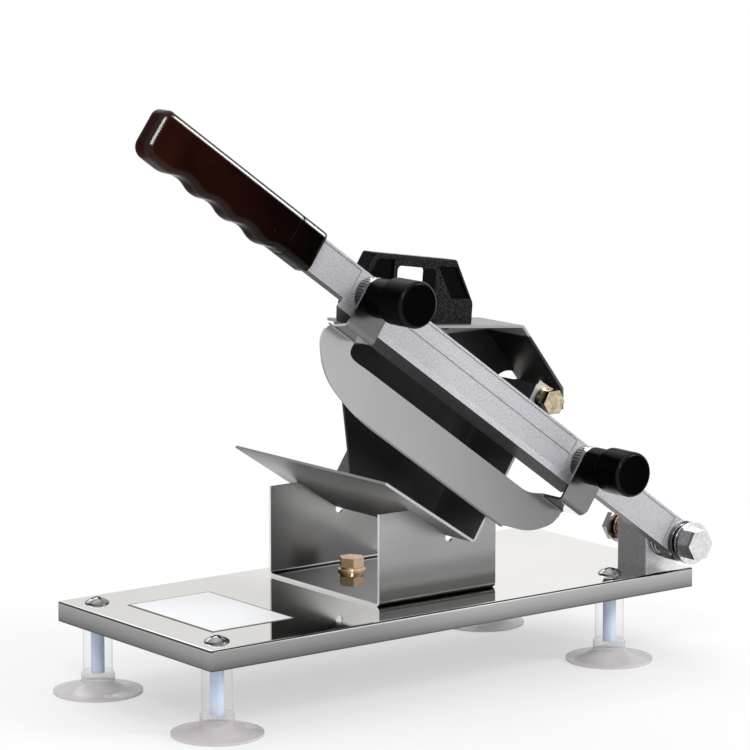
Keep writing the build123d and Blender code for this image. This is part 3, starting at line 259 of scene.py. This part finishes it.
def plated(name, front, side, rough=0.2, mottle=0.75, facets=0.3, metal=1.0):
    """Plated fastener: pale end faces and darker flanks, which are painted light and shade, with
    faces that look down painted darker; turned marks and a few dull spots. facets and mottle: the
    painted shade of the dark flanks and the tone of the patches."""
    m = Mat(name, metallic=metal, rough=rough)
    # Painted light and shade: flanks painted dark and bright in turn by which way they face, ends
    # painted pale as lit, faces that look down painted dark.
    flank = m.shade(side, m.facing(RIGHT), (
        (0.0, facets), (0.22, 1.0), (0.42, facets), (0.6, 1.0), (0.8, facets), (1.0, 1.0)))
    ends = m.calc("MAXIMUM", m.facing(NEAR, 0.55, 0.95), m.facing(UP, 0.75, 0.98))
    tone = m.mix(flank, front, ends)
    tone = m.shade(tone, m.facing(UP), ((0.1, 0.28), (0.5, 0.8), (0.75, 1.0)))
    patch = m.noise(m.coords(), 420.0, 3.0, 0.6)
    m.use("Base Color", m.shade(tone, patch, ((0.3, mottle), (0.6, 1.0))))
    spots = m.noise(m.coords(), 1200.0, 2.0, 0.5)
    m.use("Roughness", m.span(spots, 0.3, 0.8, rough * 0.7, rough * 1.8))
    m.use("Normal", m.bump(spots, 0.04, HAIRLINE))
    return m.mat


def plastic(name, tones, rough, level, grain_scale, grain, fade=None, edge=None):
    """Moulded plastic: cloudy colour, fine skin, its own gloss. level: that gloss. fade: (axis, low,
    high, stops). edge: (rounding radius, gloss there, stops, spared ball or None)."""
    m = Mat(name, color=tones[0], rough=rough)
    m.use("Specular IOR Level", level)
    cloud = m.noise(m.coords(), 38.0, 3.0, 0.5)
    tone = m.ramp(cloud, [(0.3, tones[0]), (0.72, tones[1])])
    if fade:
        axis, low, high, stops = fade
        tone = m.shade(tone, m.along(axis, low, high), stops)
    m.use("Base Color", tone)
    skin = m.noise(m.coords(), grain_scale, 3.0, 0.6)
    m.use("Roughness", m.span(skin, 0.3, 0.7, rough * 0.8, rough * 1.25))
    under = None
    if edge:
        radius, shine, stops, spare = edge
        under, mask = m.rounded(radius, stops, spare)
        m.use("Specular IOR Level", m.span(mask, 0.0, 1.0, level, shine))
    m.use("Normal", m.bump(skin, grain, SKIN, under))
    return m.mat


def handle_plastic(name):
    """Black handle: grained on the raised rims of its faces, smooth on the sunk panels and on top."""
    lo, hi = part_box("pusher_handle")
    sunk = (0.0005, 0.0008)  # how far behind the rims a panel begins and is all panel, in metres
    m = Mat(name, color=(0.004, 0.004, 0.0045), rough=0.42)
    near_side = m.along(FAR, *(lo.y + depth for depth in sunk))
    far_side = m.along(NEAR, *(-hi.y + depth for depth in sunk))
    panel = m.calc("MINIMUM", near_side, far_side)
    grain = m.noise(m.coords(), 1500.0, 3.0, 0.7)
    rim = m.ramp(grain, [(0.45, (0.001, 0.001, 0.001)), (0.6, (0.045, 0.045, 0.046))])
    m.use("Base Color", m.mix(rim, (0.0012, 0.0012, 0.0014), panel))
    top = m.facing((0.15, 0, 0.99), 0.9, 0.99)
    m.use("Specular IOR Level", m.span(top, 0.0, 1.0, 0.03, 0.06))
    grained = m.span(grain, 0.3, 0.7, 0.34, 0.55)
    glossy = m.span(grain, 0.3, 0.7, 0.1, 0.16)
    m.use("Roughness", m.mix(grained, glossy, top))
    m.use("Normal", m.bump(grain, m.span(top, 0.0, 1.0, 0.35, 0.02), SKIN))
    return m.mat


def cast_alloy(name, lift=1.0, left_tone=0.34):
    """Sand-cast light alloy: grainy, pale, with small pits, and painted shade below, on its left
    faces
    and towards its left end. left_tone: the painted shade of its left faces. lift: the painted light
    on all its other faces."""
    m = Mat(name, metallic=0.35, rough=0.5)
    grain = m.noise(m.coords(), 1300.0, 4.0, 0.7)
    broad = m.noise(m.coords(), 26.0, 3.0, 0.6)
    tone = m.ramp(grain, [
        (0.32, (0.26, 0.255, 0.27)), (0.46, (0.50, 0.49, 0.525)), (0.72, (0.70, 0.69, 0.73))])
    tone = m.shade(tone, broad, ((0.3, 0.92), (0.7, 1.0)))
    # Painted shade: darker on faces that look down, on its left faces and towards its left end;
    # painted light lifts its other faces.
    tone = m.shade(tone, m.facing(UP), ((0.1, 0.12), (0.35, 0.42), (0.5, 1.0)))
    tone = m.shade(tone, m.facing(LEFT, 0.4, 1.0), ((0.0, lift), (1.0, left_tone)))
    length = m.along(RIGHT, BX + 0.03, BX + 0.28)
    m.use("Base Color", m.shade(tone, length, ((0.0, 0.8), (0.3, 0.95), (1.0, 1.0))))
    m.use("Roughness", m.span(grain, 0.3, 0.7, 0.4, 0.62))
    m.use("Normal", m.bump(grain, 0.4, SKIN))
    return m.mat


def clear_rubber(name):
    """Clear soft rubber: nearly clear sleeve, milky pink cup, denser where seen edge-on."""
    floor_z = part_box("suction_feet")[0].z
    m = Mat(name, color=(0.80, 0.70, 0.73), rough=0.14)
    m.use("IOR", 1.4)
    haze = m.noise(m.coords(), 60.0, 2.0, 0.5)
    cup = m.ramp(haze, [(0.3, (0.72, 0.67, 0.685)), (0.7, (0.84, 0.79, 0.81))])
    sleeve = m.along(UP, floor_z + 0.007, floor_z + 0.013)
    body = m.mix(cup, (0.74, 0.78, 0.86), sleeve)
    slope = m.node("ShaderNodeLayerWeight", Blend=0.5).outputs["Facing"]
    m.use("Base Color", m.mix(body, (0.26, 0.25, 0.27), m.span(slope, 0.72, 0.97, 0.0, 1.0)))
    milky = m.ramp(slope, greys((0.0, 0.4), (0.7, 0.6), (1.0, 0.95)))
    clear = m.ramp(slope, greys((0.0, 0.04), (0.6, 0.1), (0.9, 0.5), (1.0, 0.9)))
    m.use("Alpha", m.mix(milky, clear, sleeve))
    m.use("Roughness", m.span(haze, 0.3, 0.7, 0.1, 0.2))
    m.use("Normal", m.bump(haze, 0.03, RIPPLE))
    return m.mat


def paper(name, color, rough):
    """Paper with a fine tooth."""
    m = Mat(name, color=color, rough=rough)
    tooth = m.noise(m.coords(), 1800.0, 3.0, 0.6)
    m.use("Base Color", m.ramp(tooth, [(0.2, tuple(c * 0.94 for c in color)), (0.8, color)]))
    m.use("Normal", m.bump(tooth, 0.1, TOOTH))
    return m.mat


# ------------------------------------------------------------------ the materials
# The bracket's two walls, and its height, over which each wall's painted shade and painted reflection
# fade.
wall_lo, wall_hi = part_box("trough_bracket")
near_wall = (NEAR, -wall_lo.y - 0.006, -wall_lo.y - 0.005)
far_wall = (FAR, wall_hi.y - 0.006, wall_hi.y - 0.005)
bracket_rise = (UP, BZ, BZ + 0.052)

# The hood's slanted side, which starts below its folded top, and over which a painted shade fades
# from dark at its top to the full tone at its foot.
down_hood = (0.6, 0, -0.8)
hood_fall = (down_hood, slant(down_hood, 0.2, 0.146), slant(down_hood, 0.285, 0.09))
under_hood_top = (DOWN, -(BZ + 0.1448), -(BZ + 0.1438))

# The blade's ears, which get painted shade: what lies less than 20 mm below the arm's axis, with 4 mm
# to fade in.
over_arm = Vector((0.5807, 0, 0.8141))
ear_low = over_arm.dot(at(328, 0, 17.5)) - 0.024
ears = (tuple(over_arm), ear_low, ear_low + 0.004)

# The grip's pin: round its near end the grip's rounding is left out.
pin_lo, pin_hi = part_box("grip_pin")
pin_end = (pin_lo + pin_hi) / 2 + Vector((0, -(pin_hi.y - pin_lo.y) / 2, 0))

M = {
    # Painted reflection and painted shade: tones by how far a face looks up with a pale painted
    # reflection on top, darker towards the foot of its rim, and a darker painted reflection over its
    # left half.
    "base": sheet(
        "polished_base",
        [*greys((0.0, 0.1), (0.3, 0.2), (0.5, 0.44), (0.6, 0.6), (0.68, 0.07), (0.93, 0.07)),
         (0.975, (0.83, 0.815, 0.77))],
        rough=0.045, stretch=(8, 600, 600), streak=0.02, bump=0.01, fades=[
            (UP, BZ - 0.0113, BZ, ((0.0, 0.22), (0.1, 0.5), (0.45, 0.8), (0.8, 1.0))),
            (RIGHT, BX, BX + 0.34, ((0.0, 0.76), (0.3, 0.74), (0.55, 1.0), (1.0, 1.0)))]),
    # Painted shade and painted reflection by how far a face looks up and over each wall's height; its
    # cut left and right edges painted pale as a highlight.
    "bracket": sheet(
        "polished_bracket",
        greys((0.0, 0.1), (0.4, 0.8), (0.6, 0.9), (0.8, 0.3), (1.0, 0.08)),
        rough=0.06, upright=0.34, stretch=(60, 60, 900), streak=0.03, cut=(LEFT, RIGHT), fades=[
            (*bracket_rise,
             ((0.0, 0.05), (0.15, 0.07), (0.45, 0.38), (0.7, 0.45), (0.85, 0.5), (1.0, 0.45)),
             *near_wall),
            (*bracket_rise, ((0.0, 0.28), (0.5, 0.29), (1.0, 0.34)), *far_wall)]),
    # Painted shade by how far a face looks up and along its length, darkest towards its right; a
    # painted tone on its cut near and far edges.
    "trough": sheet(
        "polished_trough",
        greys((0.0, 0.5), (0.5, 0.5), (0.8, 0.6), (1.0, 0.6)),
        rough=0.42, metal=0.55, stretch=(700, 12, 700), streak=0.05, cut=(NEAR, FAR), cut_tone=0.5,
        fades=[(RIGHT, BX + 0.119, BX + 0.19, ((0.0, 0.37), (0.3, 1.0), (0.65, 0.3), (1.0, 0.12)))]),
    # Painted shade: tones by how far a face looks up, and dark on the slanted side below the folded
    # top.
    "hood": sheet(
        "polished_hood",
        greys((0.0, 0.3), (0.45, 0.34), (0.55, 0.34), (0.8, 0.3), (0.95, 0.24)),
        rough=0.4, metal=0.4, stretch=(12, 700, 700), streak=0.05,
        fades=[(*hood_fall, ((0.0, 0.03), (0.35, 0.06), (0.65, 0.3), (1.0, 1.0)), *under_hood_top)]),
    # Painted reflection and painted shade: tones by how far a face looks up, lighter towards its
    # left, and painted shade on its ears.
    "blade": sheet(
        "blade_steel",
        greys((0.0, 0.2), (0.4, 0.36), (0.5, 0.5), (1.0, 0.6)),
        rough=0.22, stretch=(1400, 60, 1400), fades=[
            (RIGHT, BX + 0.06, BX + 0.27, ((0.0, 1.0), (0.4, 0.82), (0.75, 0.54), (1.0, 0.4))),
            (RIGHT, BX + 0.12, BX + 0.2, ((0.0, 0.36), (1.0, 1.0)), *ears)]),
    "alloy": cast_alloy("cast_alloy"),
    # The pivot block: the same alloy with more painted light on its faces and less painted shade on
    # its left faces.
    "block": cast_alloy("block_alloy", lift=1.5, left_tone=0.52),
    # Each fastener's pale and dark tones are painted light on its ends and painted shade on its
    # flanks.
    "zinc": plated("plated_steel", (0.97, 0.97, 0.98), (0.34, 0.34, 0.35), rough=0.13),
    "screw": plated("screw_steel", (0.34, 0.34, 0.35), (0.2, 0.2, 0.2)),
    "rod": plated("rod_steel", (0.84, 0.70, 0.50), (0.26, 0.23, 0.19), mottle=0.4),
    "gold": plated(
        "gold_steel", (1.0, 0.74, 0.50), (1.0, 0.68, 0.38), rough=0.16, mottle=0.85, facets=0.16,
        metal=0.5),
    "copper": plated("copper_wire", (0.66, 0.44, 0.33), (0.40, 0.25, 0.18)),
    "bronze": plated("bush_bronze", (0.5, 0.38, 0.22), (0.3, 0.22, 0.12), rough=0.26),
    "pin": plated("dark_pin", (0.03, 0.015, 0.01), (0.02, 0.01, 0.008), rough=0.4),
    "grip": plastic(
        "grip_plastic", ((0.013, 0.0028, 0.0018), (0.03, 0.0064, 0.0034)),
        rough=0.09, level=0.012, grain_scale=200.0, grain=0.02,
        fade=(RIGHT, BX - 0.05, BX + 0.06, ((0.0, 1.0), (0.55, 0.42), (1.0, 0.06))),
        edge=(0.0035, 0.16, ((0.02, 0.0), (0.3, 1.0), (0.92, 1.0), (0.99, 0.0)), (pin_end, 0.0062))),
    "black": plastic(
        "black_plastic", (grey(0.0006), grey(0.0015)),
        rough=0.2, level=0.01, grain_scale=1500.0, grain=0.08,
        edge=(0.0007, 0.14, ((0.1, 0.0), (0.4, 1.0), (0.85, 1.0), (0.97, 0.0)), None)),
    "handle": handle_plastic("black_handle"),
    "cup": clear_rubber("clear_rubber"),
    "core": plastic(
        "core_plastic", ((0.66, 0.78, 1.0), (0.78, 0.88, 1.0)),
        rough=0.4, level=0.3, grain_scale=700.0, grain=0.05),
}
LOOK = {
    "base_tray": "base", "suction_feet": "cup", "foot_cores": "core", "foot_screws": "screw",
    "trough_bracket": "bracket", "bracket_bolts": "gold", "bracket_washers": "gold",
    "bracket_nuts": "gold", "food_trough": "trough", "guide_rod": "rod", "rod_washers": "rod",
    "rod_nuts": "rod", "guide_sleeve": "bronze", "pusher_hood": "hood", "grip_pins": "zinc",
    "pusher_handle": "handle", "handle_screws": "zinc", "pivot_block": "block",
    "block_screws": "zinc", "pivot_bolt": "zinc", "pivot_washers": "zinc",
    "pivot_spring_outer": "zinc", "pivot_spring_inner": "zinc", "pivot_spring_rear": "copper",
    "pivot_nut": "zinc", "lever_arm": "alloy", "lever_bush": "bronze", "clamp_studs": "zinc",
    "spacer_nut_lower": "zinc", "spacer_nut_upper": "zinc", "clamp_washers": "zinc",
    "blade": "blade", "clamp_knob_lower": "black", "clamp_knob_upper": "black",
    "hand_grip": "grip", "grip_pin": "pin",
}
for name, obj in N.items():
    obj.data.materials.clear()
    obj.data.materials.append(M[LOOK[name]])

# ------------------------------------------------------------------ bare label on the base
# In base-frame millimetres: its left, right, near and far edges, its border, and its plates' heights.
LABEL = (25.0, 80.0, 35.0, 117.0)
BORDER = 1.3
PLATE_FOOT = 0.02
INK_TOP = 0.16
PAPER_TOP = 0.30


def label_corners(inset):
    """The label's corners, moved inwards."""
    x0, x1, y0, y1 = LABEL
    x0, x1, y0, y1 = x0 + inset, x1 - inset, y0 + inset, y1 - inset
    return [(x0, y0), (x1, y0), (x1, y1), (x0, y1)]


def flat_piece(name, corners, height, material):
    """Thin plate with the given corners, its top at the given height over the tray."""
    mesh = bpy.data.meshes.new(name)
    bm = bmesh.new()
    low = [bm.verts.new(at(x, y, PLATE_FOOT)) for x, y in corners]
    top = [bm.verts.new(at(x, y, height)) for x, y in corners]
    bm.faces.new(list(reversed(low)))
    bm.faces.new(top)
    for i in range(len(corners)):
        j = (i + 1) % len(corners)
        bm.faces.new((low[i], low[j], top[j], top[i]))
    bm.to_mesh(mesh)
    bm.free()
    obj = bpy.data.objects.new(name, mesh)
    obj.data.materials.append(material)
    scene.collection.objects.link(obj)
    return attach(obj, "base")


ink = paper("label_border", (0.05, 0.05, 0.05), 0.5)
white = paper("label_paper", (0.86, 0.87, 0.88), 0.45)
flat_piece("label_border", label_corners(0.0), INK_TOP, ink)
flat_piece("label_paper", label_corners(BORDER), PAPER_TOP, white)

# ------------------------------------------------------------------ floor and surroundings
WHITE = (1, 1, 1, 1)
FLOOR_SIZE = 6.0
FLOOR_DROP = 0.0002  # below the feet, in metres
LEAST_WHITE = 0.55  # share of plain white in the floor beside the object, which lightens its shadow
ALL_WHITE = (0.30, 0.62)  # distances over which that share grows to the whole, in metres
SKY_LIGHT, SKY_SEEN = 0.5, 1.0


def seen_in(tree):
    """1 for what is seen straight, in metal or through clear pieces, 0 for what lights a surface."""
    path = tree.nodes.new("ShaderNodeLightPath")
    seen = path.outputs["Is Camera Ray"]
    for other in ("Is Glossy Ray", "Is Transmission Ray"):
        step = tree.nodes.new("ShaderNodeMath")
        step.operation = "MAXIMUM"
        tree.links.new(seen, step.inputs[0])
        tree.links.new(path.outputs[other], step.inputs[1])
        seen = step.outputs[0]
    return seen


def blended(tree, share, first, second, end):
    """Mixes two shaders by a share and gives the result to the tree's end."""
    made = tree.nodes.new("ShaderNodeMixShader")
    for socket, source in zip(made.inputs, (share, first, second)):
        tree.links.new(source, socket)
    tree.links.new(made.outputs[0], end.inputs["Surface"])


floor_mesh = bpy.data.meshes.new("floor")
bm = bmesh.new()
bmesh.ops.create_grid(bm, x_segments=1, y_segments=1, size=FLOOR_SIZE)
bm.to_mesh(floor_mesh)
bm.free()
floor = bpy.data.objects.new("floor", floor_mesh)
floor.location = (0, 0, -FLOOR_DROP)
scene.collection.objects.link(floor)
fl = Mat("floor", color=(0.93, 0.93, 0.93), rough=0.9)
grain = fl.noise(fl.coords(), 40.0, 3.0, 0.5)
fl.use("Base Color", fl.ramp(grain, greys((0.2, 0.925), (0.8, 0.94))))
distance = fl.node("ShaderNodeVectorMath", operation="LENGTH")
fl.link(fl.texture("Object"), distance.inputs[0])
away = fl.span(distance.outputs["Value"], *ALL_WHITE, 0.0, 1.0)
share = fl.calc("MULTIPLY", fl.calc("MAXIMUM", away, LEAST_WHITE), seen_in(fl.nt))
glow = fl.node("ShaderNodeEmission", Color=WHITE, Strength=1.0)
blended(fl.nt, share, fl.bsdf.outputs[0], glow.outputs[0], fl.nt.nodes["Material Output"])
floor.data.materials.append(fl.mat)

# The world lights the object softly, but shows plain white wherever it is seen.
world = bpy.data.worlds.new("world")
scene.world = world
world.use_nodes = True
wt = world.node_tree
wt.nodes.clear()
skies = []
for strength in (SKY_LIGHT, SKY_SEEN):
    sky = wt.nodes.new("ShaderNodeBackground")
    sky.inputs["Color"].default_value = WHITE
    sky.inputs["Strength"].default_value = strength
    skies.append(sky.outputs[0])
blended(wt, seen_in(wt), *skies, wt.nodes.new("ShaderNodeOutputWorld"))


# ------------------------------------------------------------------ lamps
def area(name, place, target, size, power):
    data = bpy.data.lights.new(name, "AREA")
    data.shape = "RECTANGLE"
    data.size, data.size_y = size
    data.energy = power
    obj = bpy.data.objects.new(name, data)
    obj.location = place
    obj.rotation_euler = (Vector(target) - Vector(place)).to_track_quat("-Z", "Y").to_euler()
    scene.collection.objects.link(obj)
    return obj


def only(name, *pieces):
    """Collection for a lamp that lights nothing but these pieces."""
    made = bpy.data.collections.new(name)
    for piece in pieces:
        made.objects.link(N[piece])
    return made


area("key", (1.3, -1.5, 1.1), (0, 0, 0.15), (0.5, 0.9), 19.0)
area("fill", (-1.0, -1.15, 1.25), (0, 0, 0.15), (0.4, 0.5), 8.0)
area("rim", (0.4, 1.5, 1.3), (0, 0, 0.15), (1.4, 0.6), 8.0)
area("top", (0.0, 0.1, 1.7), (0, 0, 0.1), (1.3, 1.3), 6.0)
# Two lamps that only the grip's gloss sees: they draw the streaks along its rounded edges.
gripped = only("grip_only", "hand_grip")
for lamp in (area("streak_right", (1.16, -0.65, 0.61), (-0.15, 0, 0.28), (0.6, 0.6), 70.0),
             area("streak_left", (-0.9, -1.2, 1.15), (-0.2, 0, 0.3), (0.6, 0.6), 70.0)):
    lamp.visible_diffuse = False
    lamp.visible_transmission = False
    lamp.light_linking.receiver_collection = gripped
# One small lamp for the yellow bolts, which stand in the bracket's shade.
bolt_lamp = area("bolts", (-0.8, -1.1, 0.55), (0, 0, 0.06), (0.3, 0.3), 13.0)
bolt_lamp.light_linking.receiver_collection = only("yellow_bolts", "bracket_bolts", "bracket_washers")

scene.view_settings.view_transform = "Standard"
